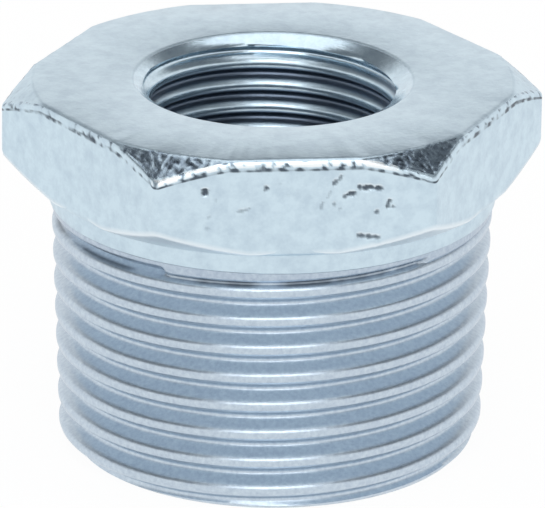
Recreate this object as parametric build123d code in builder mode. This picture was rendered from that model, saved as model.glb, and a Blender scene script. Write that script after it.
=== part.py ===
from build123d import *
import math
import os

# Hexagon reducing bushing for threaded iron pipe: taper male R 1, parallel female Rp 1/2.
# It is one malleable-iron casting, turned and threaded outside, faced and tapped inside.
# Millimetres, +Z up along the axis, origin at the centre of the male end's face.
# The hexagon's flats face +Y and -Y, and two of its corners lie on the X axis.

# Overall form: the male thread, the neck and the hexagon stand one on the other
thread_length = 19.6  # run-out included
neck_height = 1.8
head_height = 7.6
across_flats = 36.0  # spanner size
corner_radius = 0.6  # cast corners of the hexagon

# Hexagon head, chamfered on both sides by cones about the axis
top_circle_diameter = 36.7  # where the upper cone leaves the top face
top_chamfer_angle = 35.0  # from the face
under_ledge = 0.9  # flat ring between the neck and the lower cone
under_chamfer_angle = 35.0  # from the underside

# Round neck between the thread and the hexagon
neck_inset = 0.9  # from the hexagon's flats
neck_root_radius = 0.5  # cast fillet under the hexagon

# Male thread R 1, given by the cone over its crests
gauge_diameter = 33.249  # major diameter at the gauge plane
gauge_length = 10.4  # gauge plane above the male end's face
taper = 1 / 16  # on the diameter
end_face_diameter = 30.3  # lead chamfer at the male end
end_chamfer_angle = 45.0

# Female thread Rp 1/2, given by the cylinder over its crests
bore_diameter = 18.631
mouth_diameter = 21.5  # countersink at the top face
mouth_angle = 60.0  # from the axis
outlet_diameter = 20.6  # countersink at the male end
outlet_angle = 45.0  # from the axis


def crest_radius(height):
    """Radius of the cone over the male thread's crests at a height above the male end."""
    return gauge_diameter / 2 + (height - gauge_length) * taper / 2


head_base = thread_length + neck_height
total_height = head_base + head_height
neck_radius = across_flats / 2 - neck_inset
under_circle = neck_radius + under_ledge
corner_reach = across_flats / math.sqrt(3)
top_drop = (corner_reach - top_circle_diameter / 2) * math.tan(math.radians(top_chamfer_angle))
under_rise = (corner_reach - under_circle) * math.tan(math.radians(under_chamfer_angle))

# The lead chamfer's cone meets the crest cone a little way up
lead_slope = math.tan(math.radians(end_chamfer_angle))
lead_height = (crest_radius(0) - end_face_diameter / 2) / (1 / lead_slope - taper / 2)

outlet_depth = (outlet_diameter - bore_diameter) / 2 / math.tan(math.radians(outlet_angle))

with BuildPart() as hex_bushing:
    # Hexagon head: a prism with softened corners
    with BuildSketch(Plane.XY.offset(head_base)):
        RegularPolygon(radius=across_flats / 2, side_count=6, major_radius=False)
    extrude(amount=head_height)
    fillet(hex_bushing.edges().filter_by(Axis.Z), radius=corner_radius)

    # Both chamfers at once: the prism is kept only inside a double cone
    with BuildSketch(Plane.XZ):
        with BuildLine():
            Polyline(
                (0, head_base),
                (under_circle, head_base),
                (corner_reach, head_base + under_rise),
                (corner_reach, total_height - top_drop),
                (top_circle_diameter / 2, total_height),
                (0, total_height),
                close=True,
            )
        make_face()
    revolve(axis=Axis.Z, mode=Mode.INTERSECT)

    # Neck and tapered shank, turned as one profile
    with BuildSketch(Plane.XZ):
        with BuildLine():
            Polyline(
                (0, 0),
                (end_face_diameter / 2, 0),
                (crest_radius(lead_height), lead_height),
                (crest_radius(thread_length), thread_length),
                (neck_radius, thread_length),
                (neck_radius, head_base),
                (0, head_base),
                close=True,
            )
        make_face()
    revolve(axis=Axis.Z)

    # Cast fillet where the neck runs into the underside of the hexagon
    neck_root = (
        hex_bushing.edges()
        .filter_by(GeomType.CIRCLE)
        .filter_by(lambda edge: abs(edge.center().Z - head_base) < 0.01)
        .sort_by(SortBy.RADIUS)[0]
    )
    fillet(neck_root, radius=neck_root_radius)

    # Tapped hole, right through, countersunk at both ends
    with Locations((0, 0, total_height)):
        CounterSinkHole(
            radius=bore_diameter / 2,
            counter_sink_radius=mouth_diameter / 2,
            counter_sink_angle=2 * mouth_angle,
        )
    with BuildSketch(Plane.XZ):
        with BuildLine():
            Polyline(
                (0, 0),
                (outlet_diameter / 2, 0),
                (bore_diameter / 2, outlet_depth),
                (0, outlet_depth),
                close=True,
            )
        make_face()
    revolve(axis=Axis.Z, mode=Mode.SUBTRACT)

hex_bushing.part.label = "hex_bushing"
os.makedirs("parts", exist_ok=True)
export_step(hex_bushing.part, "parts/hex_bushing.step")
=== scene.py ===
import math

import bmesh
import bpy
from mathutils import Matrix, Vector, noise


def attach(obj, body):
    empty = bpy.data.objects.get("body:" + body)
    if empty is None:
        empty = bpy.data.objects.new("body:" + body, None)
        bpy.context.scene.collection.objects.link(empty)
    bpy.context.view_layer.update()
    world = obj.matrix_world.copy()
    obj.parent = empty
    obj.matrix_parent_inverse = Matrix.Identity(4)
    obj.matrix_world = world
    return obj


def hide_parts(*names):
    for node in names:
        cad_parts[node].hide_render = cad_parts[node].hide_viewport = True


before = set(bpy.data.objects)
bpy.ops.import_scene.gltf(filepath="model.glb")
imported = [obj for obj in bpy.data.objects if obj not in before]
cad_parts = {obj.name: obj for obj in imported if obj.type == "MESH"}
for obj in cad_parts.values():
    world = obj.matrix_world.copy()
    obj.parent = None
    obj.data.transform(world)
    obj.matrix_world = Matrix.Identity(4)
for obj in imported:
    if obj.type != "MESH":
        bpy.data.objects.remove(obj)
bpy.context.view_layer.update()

# ---------------------------------------------------------------------------
# Studio: a white floor under soft, plain light, with a wide softbox overhead and a larger one
# in front. The camera looks down on the bushing at 21 degrees, nearly square to one of its flats.
# ---------------------------------------------------------------------------
MM = 0.001


def linear(colour):
    """Linear RGBA of an sRGB hex colour."""
    shares = [int(colour[i : i + 2], 16) / 255 for i in (1, 3, 5)]
    return [s / 12.92 if s <= 0.04045 else ((s + 0.055) / 1.055) ** 2.4 for s in shares] + [1.0]


def add_node(tree, kind, inputs=(), **settings):
    """Add a node, give it its settings, and give each input a value or a link."""
    node = tree.nodes.new(kind)
    for name, value in settings.items():
        setattr(node, name, value)
    pairs = inputs.items() if isinstance(inputs, dict) else enumerate(inputs)
    for key, value in pairs:
        if isinstance(value, bpy.types.Node):
            value = value.outputs[0]
        if isinstance(value, bpy.types.NodeSocket):
            tree.links.new(value, node.inputs[key])
        elif value is not None:
            node.inputs[key].default_value = value
    return node


def towards(azimuth, elevation):
    """Unit vector at an azimuth and an elevation, both in degrees."""
    azimuth, elevation = math.radians(azimuth), math.radians(elevation)
    return Vector(
        (
            math.cos(azimuth) * math.cos(elevation),
            math.sin(azimuth) * math.cos(elevation),
            math.sin(elevation),
        )
    )


picture_width, picture_height = 545, 508
camera_azimuth, camera_elevation = 264.447, 21.276
camera_roll = math.radians(0.654)
camera_distance = 473.235 * MM
camera_focus = 6150.6  # focal length in pixels of the picture
sensor_width = 36.0
look_at = Vector((0, 0, 14 * MM))
look_at_pixel = (271.2, 261.9)  # where look_at falls in the picture

to_camera = towards(camera_azimuth, camera_elevation)
level_right = towards(camera_azimuth + 90, 0)
level_up = to_camera.cross(level_right)
right = level_right * math.cos(camera_roll) + level_up * math.sin(camera_roll)
up = level_up * math.cos(camera_roll) - level_right * math.sin(camera_roll)
eye = look_at + to_camera * camera_distance
metres_per_pixel = camera_distance / camera_focus
aim = (
    look_at
    + right * (picture_width / 2 - look_at_pixel[0]) * metres_per_pixel
    + up * (look_at_pixel[1] - picture_height / 2) * metres_per_pixel
)
back = (eye - aim).normalized()
right = (right - back * right.dot(back)).normalized()
up = back.cross(right)
camera = bpy.data.objects.new("camera", bpy.data.cameras.new("camera"))
camera.data.sensor_width = sensor_width
camera.data.lens = camera_focus / picture_width * sensor_width
camera.data.clip_start = 0.01
camera.data.clip_end = 20.0
camera.matrix_world = Matrix.Translation(eye) @ Matrix((right, up, back)).transposed().to_4x4()
bpy.context.scene.collection.objects.link(camera)
bpy.context.scene.camera = camera
bpy.context.scene.view_settings.view_transform = "Standard"

# Softboxes, placed by azimuth, elevation and distance from the bushing, in degrees and metres
softboxes = {
    "overhead": {
        "azimuth": 84,
        "elevation": 84,
        "distance": 0.9,
        "size": (0.72, 0.8),
        "power": 2.15,
    },
    "front": {
        "azimuth": 264,
        "elevation": 45,
        "distance": 1.2,
        "size": (0.9, 0.8),
        "power": 4.6,
    },
}
for name, box in softboxes.items():
    lamp = bpy.data.lights.new(name, "AREA")
    lamp.shape = "RECTANGLE"
    lamp.size, lamp.size_y = box["size"]
    lamp.energy = box["power"]
    softbox = bpy.data.objects.new(name, lamp)
    away = towards(box["azimuth"], box["elevation"])
    softbox.location = look_at + away * box["distance"]
    softbox.rotation_euler = away.to_track_quat("Z", "Y").to_euler()
    bpy.context.scene.collection.objects.link(softbox)

# The room: white walls and a grey ceiling, which give the zinc its contrast. Each tone stands at
# the sine of its elevation.
room_tones = ((0.0, "#ffffff"), (0.44, "#fafafa"), (0.60, "#75797d"))
world = bpy.data.worlds.new("studio")
bpy.context.scene.world = world
world.use_nodes = True
room = world.node_tree
room.nodes.clear()
direction = add_node(room, "ShaderNodeTexCoord")
height = add_node(room, "ShaderNodeSeparateXYZ", [direction.outputs["Generated"]])
tones = add_node(room, "ShaderNodeValToRGB", [height.outputs["Z"]])
tones.color_ramp.elements.new(0.5)
for element, (position, tone) in zip(tones.color_ramp.elements, room_tones):
    element.position, element.color = position, linear(tone)
glow = add_node(room, "ShaderNodeBackground", {"Color": tones.outputs["Color"], "Strength": 1.0})
add_node(room, "ShaderNodeOutputWorld", [glow.outputs[0]])

# White floor: pure white to the eye except where the bushing shades it
floor_reach = 3.0
floor_gap = 0.01 * MM  # between the floor and the bushing's end
paper_white, white_share = 1.04, 0.9  # to the eye; the rest is matt and takes the shadow
floor_mesh = bpy.data.meshes.new("floor")
floor_corners = [
    (x * floor_reach, y * floor_reach, 0) for x, y in ((-1, -1), (1, -1), (1, 1), (-1, 1))
]
floor_mesh.from_pydata(floor_corners, [], [(0, 1, 2, 3)])
floor = bpy.data.objects.new("floor", floor_mesh)
floor.location.z = -floor_gap
bpy.context.scene.collection.objects.link(floor)
paper = bpy.data.materials.new("matt white paper")
paper.use_nodes = True
sheet = paper.node_tree
sheet.nodes.clear()
matt = add_node(sheet, "ShaderNodeBsdfDiffuse", {"Color": linear("#e6e6e6")})
white = add_node(
    sheet, "ShaderNodeEmission", {"Color": linear("#ffffff"), "Strength": paper_white}
)
ray = add_node(sheet, "ShaderNodeLightPath").outputs
eye_or_metal = add_node(
    sheet, "ShaderNodeMath", [ray["Is Camera Ray"], ray["Is Glossy Ray"]], operation="MAXIMUM"
)
seen = add_node(sheet, "ShaderNodeMath", [eye_or_metal, white_share], operation="MULTIPLY")
both = add_node(sheet, "ShaderNodeMixShader", [seen, matt, white])
add_node(sheet, "ShaderNodeOutputMaterial", [both])
floor_mesh.materials.append(paper)

# ---------------------------------------------------------------------------
# Threads: the male R 1 is cut with a five-chaser die on the tapered shank, and the female
# Rp 1/2 is tapped through the bore. Both are right-hand 55 degree pipe threads, their crests
# and roots filled and rounded by the zinc, and one rule makes both walls.
# ---------------------------------------------------------------------------
stop_rounding = 0.1 * MM  # where the die's lead cone leaves the groove
grid_weld = 0.003 * MM  # joins the two ends of each turn and the rows held at an end
thread = bpy.data.node_groups.new("pipe_thread", "GeometryNodeTree")
thread.interface.new_socket("Wall", in_out="OUTPUT", socket_type="NodeSocketGeometry")
thread_inputs = {
    "Columns": "Int",
    "Rows Per Turn": "Int",
    "Pitch": "Float",
    "Phase": "Float",  # height of a crest at azimuth 0
    "Bottom": "Float",
    "Top": "Float",
    "Side": "Float",  # 1 for a male wall, -1 for a female one
    "Crest Radius": "Float",  # at height 0
    "Taper": "Float",  # radius gained per height
    "Depth": "Float",
    "Crest Flat": "Float",  # its width, before it is rounded
    "Root Flat": "Float",
    "Crest Rounding": "Float",
    "Root Rounding": "Float",  # as a share of the depth
    "Bottom Radius": "Float",  # of the chamfer or countersink at the bottom
    "Bottom Slope": "Float",
    "Top Radius": "Float",
    "Top Slope": "Float",
    "Edge Rounding": "Float",  # where those two meet the thread
    "Runout End": "Float",  # where the die's lead cone leaves the wall
    "Runout Slope": "Float",
    "Chasers": "Float",
    "Chaser Turn": "Float",  # where one of them stopped, in turns
    "Material": "Material",
}
socket_of = {}
for name, kind in thread_inputs.items():
    socket = thread.interface.new_socket(name, in_out="INPUT", socket_type="NodeSocket" + kind)
    socket_of[name] = socket.identifier
given = add_node(thread, "NodeGroupInput").outputs
pitch, bottom, top, side = given["Pitch"], given["Bottom"], given["Top"], given["Side"]

# The wall unrolled: a flat grid one turn wide, with rows for its turns and for one more turn at
# each end
height = add_node(thread, "ShaderNodeMath", [top, bottom], operation="SUBTRACT")
pitches = add_node(thread, "ShaderNodeMath", [height, pitch], operation="DIVIDE")
whole_turns = add_node(thread, "ShaderNodeMath", [pitches], operation="CEIL")
turns = add_node(thread, "ShaderNodeMath", [whole_turns, 2.0], operation="ADD")
rows = add_node(
    thread, "ShaderNodeMath", [turns, given["Rows Per Turn"], 1.0], operation="MULTIPLY_ADD"
)
posts = add_node(thread, "ShaderNodeMath", [given["Columns"], 1.0], operation="ADD")
grid = add_node(
    thread,
    "GeometryNodeMeshGrid",
    {"Size X": 1.0, "Size Y": 1.0, "Vertices X": posts, "Vertices Y": rows},
)
place = add_node(
    thread, "ShaderNodeSeparateXYZ", [add_node(thread, "GeometryNodeInputPosition")]
).outputs
turn = add_node(thread, "ShaderNodeMath", [place["X"], 0.5], operation="ADD")
share_up = add_node(thread, "ShaderNodeMath", [place["Y"], 0.5], operation="ADD")

# Each row follows the helix from one turn below the wall and is held between its two ends
below = add_node(thread, "ShaderNodeMath", [bottom, given["Phase"]], operation="SUBTRACT")
pitches_below = add_node(thread, "ShaderNodeMath", [below, pitch], operation="DIVIDE")
first_turn = add_node(thread, "ShaderNodeMath", [pitches_below], operation="FLOOR")
climb = add_node(thread, "ShaderNodeMath", [share_up, turns, -1.0], operation="MULTIPLY_ADD")
climbed = add_node(thread, "ShaderNodeMath", [first_turn, climb], operation="ADD")
helix = add_node(thread, "ShaderNodeMath", [climbed, turn], operation="ADD")
free_level = add_node(
    thread, "ShaderNodeMath", [helix, pitch, given["Phase"]], operation="MULTIPLY_ADD"
)
over_bottom = add_node(thread, "ShaderNodeMath", [free_level, bottom], operation="MAXIMUM")
level = add_node(thread, "ShaderNodeMath", [over_bottom, top], operation="MINIMUM")

# Axial distance from the nearest crest gives the groove's depth, as a share of the full depth
above_phase = add_node(thread, "ShaderNodeMath", [level, given["Phase"]], operation="SUBTRACT")
pitches_up = add_node(thread, "ShaderNodeMath", [above_phase, pitch], operation="DIVIDE")
crests = add_node(thread, "ShaderNodeMath", [pitches_up, turn], operation="SUBTRACT")
off_crest = add_node(thread, "ShaderNodeMath", [crests, 0.5], operation="PINGPONG")
beside = add_node(thread, "ShaderNodeMath", [off_crest, pitch], operation="MULTIPLY")
half_pitch = add_node(thread, "ShaderNodeMath", [pitch, 0.5], operation="MULTIPLY")
half_crest = add_node(thread, "ShaderNodeMath", [given["Crest Flat"], 0.5], operation="MULTIPLY")
half_root = add_node(thread, "ShaderNodeMath", [given["Root Flat"], 0.5], operation="MULTIPLY")
off_root = add_node(thread, "ShaderNodeMath", [half_pitch, half_root], operation="SUBTRACT")
flank = add_node(thread, "ShaderNodeMath", [off_root, half_crest], operation="SUBTRACT")
down_flank = add_node(thread, "ShaderNodeMath", [beside, half_crest], operation="SUBTRACT")
share = add_node(thread, "ShaderNodeMath", [down_flank, flank], operation="DIVIDE")
rooted = add_node(
    thread, "ShaderNodeMath", [share, 1.0, given["Root Rounding"]], operation="SMOOTH_MIN"
)
full_cut = add_node(thread, "ShaderNodeMath", [rooted, given["Depth"]], operation="MULTIPLY")

# The chasers stop side by side, so the run-out climbs with the helix and steps down at each
past_chaser = add_node(thread, "ShaderNodeMath", [turn, given["Chaser Turn"]], operation="SUBTRACT")
chasers_past = add_node(
    thread, "ShaderNodeMath", [past_chaser, given["Chasers"]], operation="MULTIPLY"
)
chaser = add_node(thread, "ShaderNodeMath", [chasers_past], operation="FRACT")
chaser_pitch = add_node(thread, "ShaderNodeMath", [pitch, given["Chasers"]], operation="DIVIDE")
stop = add_node(
    thread, "ShaderNodeMath", [chaser, chaser_pitch, given["Runout End"]], operation="MULTIPLY_ADD"
)
to_stop = add_node(thread, "ShaderNodeMath", [stop, level], operation="SUBTRACT")
lead = add_node(thread, "ShaderNodeMath", [to_stop, given["Runout Slope"]], operation="MULTIPLY")
cut = add_node(thread, "ShaderNodeMath", [full_cut, lead, stop_rounding], operation="SMOOTH_MIN")

# Radius, counted outwards from the metal's side so that male and female are one rule
blank = add_node(
    thread,
    "ShaderNodeMath",
    [level, given["Taper"], given["Crest Radius"]],
    operation="MULTIPLY_ADD",
)
crest = add_node(thread, "ShaderNodeMath", [blank, side], operation="MULTIPLY")
groove = add_node(thread, "ShaderNodeMath", [crest, cut], operation="SUBTRACT")
ridge = add_node(
    thread, "ShaderNodeMath", [crest, groove, given["Crest Rounding"]], operation="SMOOTH_MIN"
)
bottom_edge = add_node(
    thread, "ShaderNodeMath", [given["Bottom Radius"], side], operation="MULTIPLY"
)
top_edge = add_node(thread, "ShaderNodeMath", [given["Top Radius"], side], operation="MULTIPLY")
off_bottom = add_node(thread, "ShaderNodeMath", [level, bottom], operation="SUBTRACT")
off_top = add_node(thread, "ShaderNodeMath", [top, level], operation="SUBTRACT")
bottom_cone = add_node(
    thread,
    "ShaderNodeMath",
    [off_bottom, given["Bottom Slope"], bottom_edge],
    operation="MULTIPLY_ADD",
)
top_cone = add_node(
    thread, "ShaderNodeMath", [off_top, given["Top Slope"], top_edge], operation="MULTIPLY_ADD"
)
above_cone = add_node(
    thread, "ShaderNodeMath", [ridge, bottom_cone, given["Edge Rounding"]], operation="SMOOTH_MIN"
)
below_cone = add_node(
    thread, "ShaderNodeMath", [above_cone, top_cone, given["Edge Rounding"]], operation="SMOOTH_MIN"
)
radius = add_node(thread, "ShaderNodeMath", [below_cone, side], operation="MULTIPLY")
angle = add_node(thread, "ShaderNodeMath", [turn, 2 * math.pi], operation="MULTIPLY")
cosine = add_node(thread, "ShaderNodeMath", [angle], operation="COSINE")
sine = add_node(thread, "ShaderNodeMath", [angle], operation="SINE")
across = add_node(thread, "ShaderNodeMath", [radius, cosine], operation="MULTIPLY")
along = add_node(thread, "ShaderNodeMath", [radius, sine], operation="MULTIPLY")
point = add_node(thread, "ShaderNodeCombineXYZ", [across, along, level])
bent = add_node(thread, "GeometryNodeSetPosition", {"Geometry": grid, "Position": point})
closed = add_node(thread, "GeometryNodeMergeByDistance", {"Geometry": bent, "Distance": grid_weld})
whole = add_node(thread, "GeometryNodeRealizeInstances", [closed])
coated = add_node(
    thread, "GeometryNodeSetMaterial", {"Geometry": whole, "Material": given["Material"]}
)
add_node(thread, "NodeGroupOutput", [coated])

# The zinc coat, whose nodes follow once the whole mesh is there
zinc = bpy.data.materials.new("blue-passivated zinc on malleable iron")

gauge_radius = 16.6245  # of the male crests, at the gauge length above the end
gauge_length = 10.4
male_taper = 1 / 32
male_top = 19.6
mouth_radius = 10.75
mouth_slope = math.tan(math.radians(60))
mouth_round = 0.22
top_height = 29.0
bore_top = top_height - mouth_round
walls = {
    "male_thread": {
        "Columns": 210,
        "Rows Per Turn": 16,
        "Pitch": 2.309,
        "Phase": 0.104,
        "Bottom": 0.0,
        "Top": male_top,
        "Side": 1.0,
        "Crest Radius": gauge_radius - gauge_length * male_taper,
        "Taper": male_taper,
        "Depth": 1.21,
        "Crest Flat": 0.66,
        "Root Flat": 0.385,
        "Crest Rounding": 0.5,
        "Root Rounding": 0.35,
        "Bottom Radius": 15.15,
        "Bottom Slope": 1.0,
        "Top Radius": 17.5,  # outside the crests, so that it cuts nothing
        "Top Slope": 0.0,
        "Edge Rounding": 0.12,
        "Runout End": 18.85,
        "Runout Slope": 1.4,
        "Chasers": 5.0,
        "Chaser Turn": 308.5 / 360,
    },
    "female_thread": {
        "Columns": 176,
        "Rows Per Turn": 11,
        "Pitch": 1.814,
        "Phase": 1.03,
        "Bottom": 0.0,
        "Top": bore_top,
        "Side": -1.0,
        "Crest Radius": 9.3155,
        "Taper": 0.0,
        "Depth": 0.87,
        "Crest Flat": 0.61,
        "Root Flat": 0.302,
        "Crest Rounding": 0.75,
        "Root Rounding": 1.1,
        "Bottom Radius": 10.3,
        "Bottom Slope": 1.0,
        "Top Radius": mouth_radius - mouth_round * mouth_slope,
        "Top Slope": mouth_slope,
        "Edge Rounding": 0.12,
        "Runout End": 60.0,  # far above the bore, since the tap runs right through
        "Runout Slope": 1.0,
        "Chasers": 1.0,
        "Chaser Turn": 0.0,
    },
}
plain_numbers = {
    "Columns", "Rows Per Turn", "Side", "Taper", "Root Rounding", "Bottom Slope", "Top Slope",
    "Runout Slope", "Chasers", "Chaser Turn",
}
wall_meshes = []
for name, sizes in walls.items():
    wall = bpy.data.objects.new(name, bpy.data.meshes.new(name))
    bpy.context.scene.collection.objects.link(wall)
    modifier = wall.modifiers.new("thread", "NODES")
    modifier.node_group = thread
    for key, value in sizes.items():
        modifier[socket_of[key]] = value if key in plain_numbers else value * MM
    modifier[socket_of["Material"]] = zinc
    evaluated = wall.evaluated_get(bpy.context.evaluated_depsgraph_get())
    wall_meshes.append(bpy.data.meshes.new_from_object(evaluated))
    wall.modifiers.remove(modifier)
    bpy.data.objects.remove(wall)

# ---------------------------------------------------------------------------
# Hexagon, neck and end faces: the malleable-iron body round the threads. The hexagon and its
# chamfers keep their cast skin, and the top face, its mouth and the male end were turned.
# ---------------------------------------------------------------------------
head_base = 21.4
half_across = 36.0 / 2  # across the flats
corner_radius = 0.6
top_circle = 18.35  # radii where the chamfers' cones meet the two faces
under_circle = 18.0
cone_slope = math.tan(math.radians(35))
edge_break = 0.32  # least width of a chamfer, at the middle of a flat
edge_soft = (0.12, 0.24, 0.4, 0.12)  # rounding of the top, chamfer, underside and neck edges
corner_share = 0.4  # most of a side that a rounding may take
top_row = 2.2  # where the face's first row lies, in roundings inside the top edge
neck_radius = 17.1
root_radius = 0.5
half_side = math.radians(30)  # half the angle that a side takes
flat_half = (half_across - corner_radius) * math.tan(half_side)  # half a flat's length
flat_end = math.atan(flat_half / half_across)
flat_columns = {30: 60, 90: 60, 150: 60, 210: 84, 270: 130, 330: 84}  # finer in front
corner_columns = 6
chamfer_rows, flat_rows, under_rows = 12, 38, 6


def held(value, low=0.0, high=1.0):
    """A value, held between two limits."""
    return min(high, max(low, value))


def patches(place, width, shift=(0, 0, 0)):
    """Smooth noise of about -1 to 1 at a place, in patches about as wide as given."""
    return noise.noise(place / width + Vector(shift))


def hexagon_radius(angle):
    """Radius of the hexagon with rounded corners, at an angle from the middle of a flat."""
    if abs(angle) <= flat_end:
        return half_across / math.cos(angle)
    off_corner = half_side - abs(angle)
    centre = (half_across - corner_radius) / math.cos(half_side)
    across = centre * math.sin(off_corner)
    return centre * math.cos(off_corner) + math.sqrt(max(0.0, corner_radius**2 - across**2))


def head_columns():
    """Azimuth and angle from the middle of a flat, for each column of the head."""
    columns = []
    for middle, count in flat_columns.items():
        for i in range(count + 1):
            angle = math.atan((2 * i / count - 1) * flat_half / half_across)
            columns.append((math.radians(middle) + angle, angle))
        for i in range(1, corner_columns):
            angle = flat_end + (2 * half_side - 2 * flat_end) * i / corner_columns
            from_next = angle if angle < half_side else angle - 2 * half_side
            columns.append((math.radians(middle) + angle, from_next))
    return sorted((azimuth % (2 * math.pi), angle) for azimuth, angle in columns)


def along_line(start, end, count):
    """Points from start to end, both included."""
    return [start.lerp(end, i / count) for i in range(count + 1)]


def head_profile(angle):
    """Points of the head's outline, in radius and height, from the top face to the underside."""
    flat = hexagon_radius(angle)
    inner = min(top_circle, flat - edge_break)
    under = min(under_circle, flat - edge_break)
    corners = [
        Vector((inner - 1.0, top_height)),
        Vector((inner, top_height)),
        Vector((flat, top_height - (flat - inner) * cone_slope)),
        Vector((flat, head_base + (flat - under) * cone_slope)),
        Vector((under, head_base)),
        Vector((neck_radius + root_radius, head_base)),
    ]
    roundings = []
    for before, here, after, soft in zip(corners, corners[1:], corners[2:], edge_soft):
        into, out_of = here - before, after - here
        first = here - into.normalized() * min(soft, corner_share * into.length)
        last = here + out_of.normalized() * min(soft, corner_share * out_of.length)
        roundings.append([first, first * 0.25 + here * 0.5 + last * 0.25, last])
    outline = [corners[1] - Vector((top_row * edge_soft[0], 0)), *roundings[0]]
    for before, after, count in zip(
        roundings, roundings[1:], (chamfer_rows, flat_rows, under_rows)
    ):
        outline += along_line(before[2], after[0], count)[1:-1] + after
    return outline


# Wear on the front flat, from the foundry and the zinc bath: pits at (x, z) with a radius and a
# depth, and scores between two places with half a width and a depth, all in millimetres
pits = [
    (-6.69, 26.59, 0.34, 0.22), (-2.20, 26.80, 0.26, 0.16), (-6.45, 24.63, 0.24, 0.07),
    (-6.52, 23.76, 0.28, 0.06), (7.22, 25.15, 0.2, 0.12), (2.90, 25.42, 0.22, 0.1),
    (6.05, 24.75, 0.26, 0.13), (-5.90, 25.95, 0.2, 0.06), (-1.10, 27.10, 0.2, 0.05),
    (-0.55, 26.25, 0.26, 0.04), (3.30, 25.10, 0.2, 0.07),
]
scores = [
    (-4.24, 25.04, -3.40, 25.26, 0.16, 0.09),
    (3.33, 27.53, 2.86, 27.02, 0.2, 0.13),
    (2.62, 26.50, 2.38, 25.95, 0.14, 0.07),
    (2.05, 25.55, 1.90, 25.20, 0.16, 0.08),
    (3.70, 26.05, 4.35, 26.36, 0.22, 0.16),
    (4.80, 26.78, 6.30, 26.62, 0.22, 0.17),
    (6.98, 25.62, 6.86, 25.20, 0.2, 0.15),
    (4.75, 22.93, 6.20, 22.78, 0.2, 0.14),
]
pit_spread, score_spread = 1.15, 1.2  # how far their soft brims reach, in radii
pit_ragged, score_ragged = 0.5, 0.6  # how ragged the brims are, in radii


def wear_depth(x, z, ragged):
    """Depth of the front flat's pits and scores at a place on it."""
    deepest = 0.0
    for pit_x, pit_z, pit_radius, depth in pits:
        away = math.hypot(x - pit_x, z - pit_z) / (pit_spread * pit_radius)
        away += pit_ragged * ragged
        deepest = max(deepest, depth * (1 - away * away))
    for start_x, start_z, end_x, end_z, half_width, depth in scores:
        run_x, run_z = end_x - start_x, end_z - start_z
        share = held(((x - start_x) * run_x + (z - start_z) * run_z) / (run_x**2 + run_z**2))
        off_x, off_z = x - start_x - share * run_x, z - start_z - share * run_z
        away = math.hypot(off_x, off_z) / (score_spread * half_width) + score_ragged * ragged
        deepest = max(deepest, depth * (1 - away * away))
    return deepest


# The cast skin, as widths and depths in millimetres: hollows all over, pocks and pinholes on the
# chamfers, and the waves and notches of the chamfers' lower edge
skin_offset = 0.03
hollow_width, hollow_depth = 1.7, 0.014
dimple_width, dimple_depth = 0.5, 0.008
pock_width, pock_depth = 0.65, 0.06
pinhole_width, pinhole_depth = 0.3, 0.11
wave_width, wave_depth = 0.8, 0.03
notch_width, notch_depth = 0.45, 0.1
# the burrs' patches only deepen the painted shadow below the chamfers' edge
burr_width = 0.6
pock_cover, notch_cover, burr_cover = 0.05, -0.15, 0.25  # the higher, the more there are
front_flat, front_edge = -17.9, -17.6  # y of the worn flat's skin, and of the edge above it

# A painted highlight lies along that edge in stretches, but not in its notches
edge_highlight_width, edge_highlight_level, edge_highlight_swing = 1.9, 0.8, 0.6
edge_highlight_end, edge_highlight_fade = 8.2, 2.0  # x where the painted highlight ends, and how softly
notch_hold = 4.0

# How dark each of them is painted, as a share of the darkest: dark scale and painted shade on the
# chamfer and in its pocks, pinholes and notches, painted shade in the worn flat's pits and scores,
# and painted shadow under the chamfers' lower edge, more in front and in patches under burrs
chamfer_scale_and_shade, pock_scale_and_shade, pinhole_scale_and_shade = 0.3, 0.35, 1.1
notch_scale_and_shade, wear_shade = 2.0, 6.0
under_edge_shadow, front_edge_shadow, burr_shadow = 0.12, 0.3, 1.3


def skin_depth(place, chamfer, edge, below_edge):
    """Depth of the cast skin below the true surface at a place, and how dark it is painted there.

    How far the place is on the chamfer, on its lower edge and just below that is given as
    shares. The darkness is dark scale and painted shade on the chamfer and in its hollows, painted
    shade in the worn flat's pits and scores, and painted shadow below the edge. Below 0 it is a
    painted highlight along the front edge.
    """
    hollow = skin_offset + hollow_depth * patches(place, hollow_width)
    hollow += dimple_depth * patches(place, dimple_width)
    pock = max(0.0, patches(place, pock_width) + pock_cover)
    pinhole = max(0.0, patches(place, pinhole_width, (7, 3, 5)) + pock_cover)
    wave = wave_depth * (1 + patches(place, wave_width))
    notch = max(0.0, patches(place, notch_width) + notch_cover)
    burr = max(0.0, patches(place, burr_width, (2, 9, 4)) + burr_cover)
    wear = 0.0
    if place.y < front_flat:
        wear = wear_depth(place.x, place.z, patches(place, pinhole_width))
    depth = hollow * (1 - edge) + chamfer * (pock_depth * pock + pinhole_depth * pinhole)
    depth += edge * (wave + notch_depth * notch) + wear
    dirt_shade_highlight = chamfer * (chamfer_scale_and_shade + pock_scale_and_shade * pock + pinhole_scale_and_shade * pinhole)
    dirt_shade_highlight += notch_scale_and_shade * edge * notch + wear_shade * wear
    dirt_shade_highlight += below_edge * (under_edge_shadow + burr_shadow * burr)
    if place.y < front_edge:
        edge_highlight = edge_highlight_level + edge_highlight_swing * patches(place, edge_highlight_width)
        edge_highlight *= held((edge_highlight_end - place.x) / edge_highlight_fade)
        dirt_shade_highlight += below_edge * front_edge_shadow - edge * max(0.0, edge_highlight - notch_hold * notch)
    return depth, held(dirt_shade_highlight, -1.0)


def azimuth_of(vertex):
    """Azimuth of a vertex, from 0 to a full turn."""
    return math.atan2(vertex.co.y, vertex.co.x) % (2 * math.pi)


between_walls = 12.0  # a radius outside the female thread and inside the male one
body = bmesh.new()
for wall_mesh in wall_meshes:
    body.from_mesh(wall_mesh)
# how dark each vertex is painted: scale, painted shade and painted shadow, and below 0 a painted
# highlight
dirt_shade_highlight_layer = body.verts.layers.float.new("dirt_shade_highlight")
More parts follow.
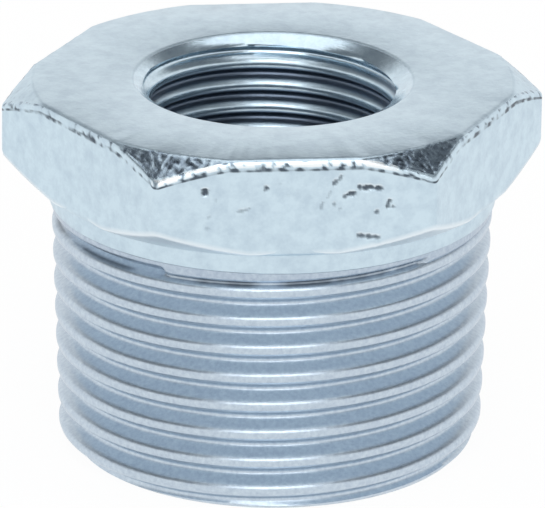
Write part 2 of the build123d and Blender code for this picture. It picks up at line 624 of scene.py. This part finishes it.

# The last male groove, where the die stopped, is made darker in patches and at a middle depth
male_sizes = walls["male_thread"]
male_pitch, male_phase = male_sizes["Pitch"], male_sizes["Phase"]
die_pitches = (male_sizes["Runout End"] - male_phase) / male_pitch
dark_band_top, dark_band_bottom, dark_band_fade = 0.06, 0.75, 0.3  # depths in the groove
dark_patch_width, dark_fleck_width = 3.1, 0.8
dark_patch_level, dark_fleck_share, least_groove_dark = 0.75, 0.5, 0.3
groove_darkness = 0.7
for vertex in body.verts:
    radius, height = vertex.co.xy.length, vertex.co.z
    turned = azimuth_of(vertex) / (2 * math.pi)
    last_crest = male_phase + (math.floor(die_pitches - turned) + turned) * male_pitch
    if radius > between_walls * MM and height > last_crest * MM:
        sunk = gauge_radius + (height / MM - gauge_length) * male_taper - radius / MM
        patchy = dark_patch_level + patches(vertex.co, dark_patch_width * MM)
        patchy += dark_fleck_share * patches(vertex.co, dark_fleck_width * MM)
        band = held((sunk - dark_band_top) / dark_band_fade) * held((dark_band_bottom - sunk) / dark_band_fade)
        vertex[dirt_shade_highlight_layer] = groove_darkness * band * held(patchy, least_groove_dark)

level_slack = 0.001 * MM  # how far an end vertex may lie off its height
seam = 1e-6  # turns a column at azimuth 0 just past it, so that it comes first
same_column = 1e-5


def past_seam(vertex):
    """Azimuth of a vertex, for putting columns in order."""
    return (azimuth_of(vertex) + seam) % (2 * math.pi)


def open_ring(inside, height):
    """Vertices on the open edge of a wall, in order of azimuth."""
    found = {
        v
        for e in body.edges
        if e.is_boundary
        for v in e.verts
        if abs(v.co.z - height * MM) < level_slack
        and (v.co.xy.length < between_walls * MM) == inside
    }
    return sorted(found, key=past_seam)


def round_ring(radius, height, count):
    """Ring of evenly spaced vertices."""
    return [
        body.verts.new((radius * MM * math.cos(a), radius * MM * math.sin(a), height * MM))
        for a in (2 * math.pi * i / count for i in range(count))
    ]


def zip_rings(first, second):
    """Close the band between two rings, with quads where their columns agree."""
    first_turns = [past_seam(v) for v in first] + [2 * math.pi + seam, math.inf]
    second_turns = [past_seam(v) for v in second] + [2 * math.pi + seam, math.inf]
    i = j = 0
    while i < len(first) or j < len(second):
        a, b = first[i % len(first)], second[j % len(second)]
        next_a, next_b = first[(i + 1) % len(first)], second[(j + 1) % len(second)]
        gap = first_turns[i + 1] - second_turns[j + 1]
        if abs(gap) < same_column:
            body.faces.new((a, next_a, next_b, b))
            i, j = i + 1, j + 1
        elif gap < 0:
            body.faces.new((a, next_a, b))
            i += 1
        else:
            body.faces.new((a, next_b, b))
            j += 1


def zip_chain(rings):
    """Close the bands between rings, from each to the next."""
    for first, second in zip(rings, rings[1:]):
        zip_rings(first, second)


male_ends = open_ring(False, 0.0), open_ring(False, male_top)
female_ends = open_ring(True, 0.0), open_ring(True, bore_top)

# Male end's flat face, between the two threads
zip_rings(female_ends[0], male_ends[0])

# Softly rounded mouth, which comes out into the turned top face
mouth_lip = 0.3  # width of the rounding on the face
mouth_rows = ((-0.36, 0.42), (0.1, 0.12), (0.6, 0.0))  # shares of mouth_lip and mouth_round
mouth_rings = [
    round_ring(
        mouth_radius + out * mouth_lip,
        top_height - mouth_round * down,
        walls["female_thread"]["Columns"],
    )
    for out, down in mouth_rows
]
zip_chain([female_ends[1], *mouth_rings])

# Head: rows of its outline, down over the chamfer, the flats and the underside. The skin sinks
# down on the chamfer and inwards on the flats, and fades out under the hexagon.
columns = head_columns()
outlines = [head_profile(angle) for _, angle in columns]
first_chamfer = 4  # the chamfer's first row
edge_row = first_chamfer + chamfer_rows  # the middle of its lower edge's rounding
under_row = edge_row + 2 + flat_rows
chamfer_start = (0.0, 0.1, 0.3, 0.5)  # how far the rows before it are on the chamfer
full_width = 1.2  # of a chamfer that is rough all over
back_roughness = 0.12  # of the chamfers behind, as a share of the front's
fade_rows = 8  # over which the skin fades out
chamfer_lift, edge_lift = 0.9, 0.5  # how far the skin sinks down rather than inwards
head_rings = []
for row in range(len(outlines[0])):
    on_chamfer = 1.0 if row < edge_row - 1 else 0.0
    if row < first_chamfer:
        on_chamfer = chamfer_start[row]
    on_edge = max(0.0, 1 - max(0, abs(row - edge_row) - 1) / 2)
    below_edge = 1.0 if edge_row + 2 <= row <= edge_row + 3 else 0.0
    lift = chamfer_lift if row < edge_row - 1 else edge_lift if row <= edge_row + 1 else 0.0
    fade = 0.0 if row == 0 else held((under_row + fade_rows - row) / fade_rows)
    ring = []
    for (azimuth, angle), outline in zip(columns, outlines):
        radius, height = outline[row]
        place = Vector((radius * math.cos(azimuth), radius * math.sin(azimuth), height))
        width = min(1.0, (outline[edge_row].x - outline[2].x) / full_width)
        in_front = max(0.0, math.cos(azimuth - math.radians(270)) - 0.5) * 2
        roughness = width * (back_roughness + (1 - back_roughness) * in_front)
        depth, dirt_shade_highlight = skin_depth(place, on_chamfer * roughness, on_edge, below_edge)
        radius -= fade * depth * (1 - 0.5 * lift)
        height -= fade * depth * lift
        vertex = body.verts.new(
            (radius * MM * math.cos(azimuth), radius * MM * math.sin(azimuth), height * MM)
        )
        vertex[dirt_shade_highlight_layer] = fade * dirt_shade_highlight
        ring.append(vertex)
    head_rings.append(ring)
zip_chain([mouth_rings[-1], *head_rings])

# Fillet under the hexagon, the neck, and its step down to the thread's blank, which a painted
# shadow darkens in patches
fillet_steps = 4
step_outline = ((0.0, 20.3), (0.0, 19.76), (0.04, 19.68), (0.15, 19.61))  # inwards, height
step_width, step_shadow, step_swing = 2.3, 0.45, 0.4
neck_outline = [
    (neck_radius + root_radius * (1 - math.sin(t)), head_base - root_radius * (1 - math.cos(t)))
    for t in (math.radians(90 / fillet_steps * i) for i in range(fillet_steps + 1))
]
neck_outline += [(neck_radius - inwards, height) for inwards, height in step_outline]
neck_rings = [round_ring(r, z, male_sizes["Columns"]) for r, z in neck_outline]
for vertex in neck_rings[-1] + neck_rings[-2]:
    vertex[dirt_shade_highlight_layer] = step_shadow + step_swing * patches(vertex.co, step_width * MM)
zip_chain([head_rings[-1], *neck_rings, male_ends[1]])

seam_weld = 0.0002 * MM
bmesh.ops.remove_doubles(body, verts=body.verts, dist=seam_weld)
bmesh.ops.recalc_face_normals(body, faces=body.faces)
for face in body.faces:
    face.smooth = True
    face.material_index = 0  # the threads' faces come with slots of their own
bushing_mesh = bpy.data.meshes.new("bushing")
body.to_mesh(bushing_mesh)
body.free()
bushing_mesh.set_sharp_from_angle(angle=math.radians(50))
bushing_mesh.materials.append(zinc)
bushing = bpy.data.objects.new("bushing", bushing_mesh)
bpy.context.scene.collection.objects.link(bushing)

# ---------------------------------------------------------------------------
# Finish: zinc, electroplated on the malleable iron and passivated blue. It gives a pale, bluish
# silver: satin and mottled on the cast skin, greyer where the die cut, glinting in the bore and
# on the rough corners. Painted shade darkens its pits, scores and hollows, and painted shadow the
# undersides of the chamfers' edge and the neck's step; painted light lightens the hexagon's
# underside, and a painted highlight the front chamfer's edge.
# ---------------------------------------------------------------------------
bore_reach = 10.62  # radius inside which the surface is the bore's
head_start = 18.0  # radius outside which it is the head's
shank_top = 19.65
blank_start, blank_end = 18.6, 19.1  # heights over which the thread gives way to its blank
root_start, root_end = 9.45, 9.75  # radii over which the female thread's roots begin
mouth_start, mouth_end = 27.5, 27.0  # heights over which the mouth gives way to the thread
face_start = 28.97  # height above which the surface is the turned face's
skin_grain, blotch, streak = 0.34, 1.3, 0.3
streak_place_scale = (0.22, 0.22, 1.6)  # draws the streaks out along the thread
grain_height = 0.05

cast_bright, cast_shaded = linear("#d1e4ef"), linear("#c2d5e2")
cut_bright, cut_shaded = linear("#d8e5ee"), linear("#9fafc3")
underside_light_tone = linear("#eaf4fa")  # painted light under the hexagon, for the white floor below it
# dark scale of the rough corners, partly painted shade for their hollows
rough_tone = linear("#8797a8")
root_tone = linear("#6a7686")
# darkest of the scale, painted shade and painted shadow
darkest_dirt_and_shade_tone = linear("#303a48")
# painted highlight along the front chamfer's edge
painted_highlight_tone = linear("#f6fbfd")

cast_roughness, shank_roughness, face_roughness = 0.36, 0.32, 0.28
corner_roughness, mouth_roughness, bore_roughness = 0.24, 0.2, 0.31

zinc.use_nodes = True
metal = zinc.node_tree
metal.nodes.clear()

# Where on the bushing a place is. A mix takes its floats at inputs 2 and 3, and its colours at
# 6 and 7.
place = add_node(metal, "ShaderNodeTexCoord").outputs["Object"]
part = add_node(metal, "ShaderNodeSeparateXYZ", [place]).outputs
flat_place = add_node(metal, "ShaderNodeCombineXYZ", [part["X"], part["Y"], 0.0])
from_axis = add_node(
    metal, "ShaderNodeVectorMath", [flat_place], operation="LENGTH"
).outputs["Value"]
in_bore = add_node(metal, "ShaderNodeMath", [from_axis, bore_reach * MM], operation="LESS_THAN")
on_shank = add_node(metal, "ShaderNodeMath", [part["Z"], shank_top * MM], operation="LESS_THAN")
on_head = add_node(metal, "ShaderNodeMath", [from_axis, head_start * MM], operation="GREATER_THAN")
on_face = add_node(metal, "ShaderNodeMath", [part["Z"], face_start * MM], operation="GREATER_THAN")
threaded = add_node(metal, "ShaderNodeMath", [on_shank, in_bore], operation="MAXIMUM")
normal = add_node(metal, "ShaderNodeNewGeometry").outputs["Normal"]
facing = add_node(metal, "ShaderNodeSeparateXYZ", [normal]).outputs["Z"]
dirt_shade_highlight_fac = add_node(metal, "ShaderNodeAttribute", attribute_name="dirt_shade_highlight").outputs["Fac"]

# Grain: the cast skin's, its wider blotches, and the die's fine streaks along the thread
skin = add_node(
    metal,
    "ShaderNodeTexNoise",
    {"Vector": place, "Scale": 1 / (skin_grain * MM), "Detail": 3.0, "Roughness": 0.6},
)
blotches = add_node(
    metal,
    "ShaderNodeTexNoise",
    {"Vector": place, "Scale": 1 / (blotch * MM), "Detail": 3.0, "Roughness": 0.7},
)
streak_place = add_node(
    metal, "ShaderNodeVectorMath", [place, streak_place_scale], operation="MULTIPLY"
)
streaks = add_node(
    metal,
    "ShaderNodeTexNoise",
    {"Vector": streak_place, "Scale": 1 / (streak * MM), "Detail": 3.0, "Roughness": 0.65},
)
grain = add_node(metal, "ShaderNodeMix", {0: threaded, 2: skin, 3: streaks}, data_type="FLOAT")
bump = add_node(
    metal, "ShaderNodeBump", {"Strength": 0.35, "Distance": grain_height * MM, "Height": grain}
)

# The cast skin is a little darker in blotches
mottle = add_node(
    metal, "ShaderNodeMapRange", {"Value": blotches, "From Min": 0.38, "From Max": 0.68}
)
cast_tone = add_node(
    metal, "ShaderNodeMix", {0: mottle, 6: cast_bright, 7: cast_shaded}, data_type="RGBA"
).outputs[2]

# The die left a greyer, finer grain on the shank, and the tone is darker still over its blank
# under the neck
uneven = add_node(metal, "ShaderNodeMath", [skin, 0.08], operation="SUBTRACT")
on_blank = add_node(
    metal,
    "ShaderNodeMapRange",
    {"Value": part["Z"], "From Min": blank_start * MM, "From Max": blank_end * MM, "To Max": 0.2},
)
greyed = add_node(metal, "ShaderNodeMath", [uneven, on_blank], operation="ADD", use_clamp=True)
cut_tone = add_node(
    metal, "ShaderNodeMix", {0: greyed, 6: cut_bright, 7: cut_shaded}, data_type="RGBA"
).outputs[2]
shank_tone = add_node(
    metal, "ShaderNodeMix", {0: on_shank, 6: cast_tone, 7: cut_tone}, data_type="RGBA"
).outputs[2]

# Painted light: faces under the hexagon that look down are made paler, for the white floor below
underside = add_node(
    metal, "ShaderNodeMapRange", {"Value": facing, "From Min": -0.1, "From Max": -0.5}
)
painted_underside_light = add_node(metal, "ShaderNodeMath", [underside, on_head], operation="MULTIPLY")
zinc_tone = add_node(
    metal, "ShaderNodeMix", {0: painted_underside_light, 6: shank_tone, 7: underside_light_tone}, data_type="RGBA"
).outputs[2]

# The corner chamfers were left rough by the casting, so the zinc lies thin there, darker between
# its glints: partly dark scale and partly painted shade for the rough skin's hollows
slanted = add_node(metal, "ShaderNodeMapRange", {"Value": facing, "From Min": 0.3, "From Max": 0.6})
not_flat = add_node(
    metal, "ShaderNodeMapRange", {"Value": facing, "From Min": 0.995, "From Max": 0.96}
)
leaning = add_node(metal, "ShaderNodeMath", [slanted, not_flat], operation="MULTIPLY")
corner = add_node(metal, "ShaderNodeMath", [leaning, on_head], operation="MULTIPLY")
pitted = add_node(metal, "ShaderNodeMapRange", {"Value": dirt_shade_highlight_fac, "From Min": 0.06, "From Max": 0.2})
rough_corner = add_node(metal, "ShaderNodeMath", [corner, pitted], operation="MULTIPLY")
shade = add_node(
    metal,
    "ShaderNodeMapRange",
    {"Value": skin, "From Min": 0.35, "From Max": 0.65, "To Min": 0.3, "To Max": 0.9},
)
dull = add_node(metal, "ShaderNodeMath", [shade, rough_corner], operation="MULTIPLY")
corner_tone = add_node(
    metal, "ShaderNodeMix", {0: dull, 6: zinc_tone, 7: rough_tone}, data_type="RGBA"
).outputs[2]

# The roots of the female thread are darker below the mouth
recess = add_node(
    metal,
    "ShaderNodeMapRange",
    {"Value": from_axis, "From Min": root_start * MM, "From Max": root_end * MM},
)
under_mouth = add_node(
    metal,
    "ShaderNodeMapRange",
    {"Value": part["Z"], "From Min": mouth_start * MM, "From Max": mouth_end * MM},
)
in_groove = add_node(metal, "ShaderNodeMath", [recess, under_mouth], operation="MULTIPLY")
dim = add_node(metal, "ShaderNodeMath", [in_groove, in_bore], operation="MULTIPLY")
thread_tone = add_node(
    metal, "ShaderNodeMix", {0: dim, 6: corner_tone, 7: root_tone}, data_type="RGBA"
).outputs[2]

# The chamfers' dark scale, painted shade and painted shadow, and the last groove's dark patches,
# darken the zinc, and a painted highlight lightens the front chamfer's edge
dark = add_node(
    metal,
    "ShaderNodeMapRange",
    {"Value": dirt_shade_highlight_fac, "From Min": 0.05, "From Max": 1.0, "To Max": 0.9},
    interpolation_type="SMOOTHSTEP",
)
dirt_and_shade_tone = add_node(
    metal, "ShaderNodeMix", {0: dark, 6: thread_tone, 7: darkest_dirt_and_shade_tone}, data_type="RGBA"
).outputs[2]
painted_highlight = add_node(
    metal, "ShaderNodeMapRange", {"Value": dirt_shade_highlight_fac, "From Min": -0.05, "From Max": -0.6}
)
tone = add_node(
    metal, "ShaderNodeMix", {0: painted_highlight, 6: dirt_and_shade_tone, 7: painted_highlight_tone}, data_type="RGBA"
).outputs[2]

# Roughness, from the cast skin to the shank, the corners, the turned face and the bore
rough_cast = add_node(
    metal, "ShaderNodeMix", {0: on_shank, 2: cast_roughness, 3: shank_roughness}, data_type="FLOAT"
)
rough_skin = add_node(
    metal, "ShaderNodeMix", {0: rough_corner, 2: rough_cast, 3: corner_roughness}, data_type="FLOAT"
)
rough_face = add_node(
    metal, "ShaderNodeMix", {0: on_face, 2: rough_skin, 3: face_roughness}, data_type="FLOAT"
)
rough_bore = add_node(
    metal,
    "ShaderNodeMix",
    {0: under_mouth, 2: mouth_roughness, 3: bore_roughness},
    data_type="FLOAT",
)
rough = add_node(
    metal, "ShaderNodeMix", {0: in_bore, 2: rough_face, 3: rough_bore}, data_type="FLOAT"
)
shader = add_node(
    metal,
    "ShaderNodeBsdfPrincipled",
    {"Base Color": tone, "Metallic": 1.0, "Roughness": rough, "Normal": bump},
)
add_node(metal, "ShaderNodeOutputMaterial", [shader])

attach(bushing, "root")
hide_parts("hex_bushing")
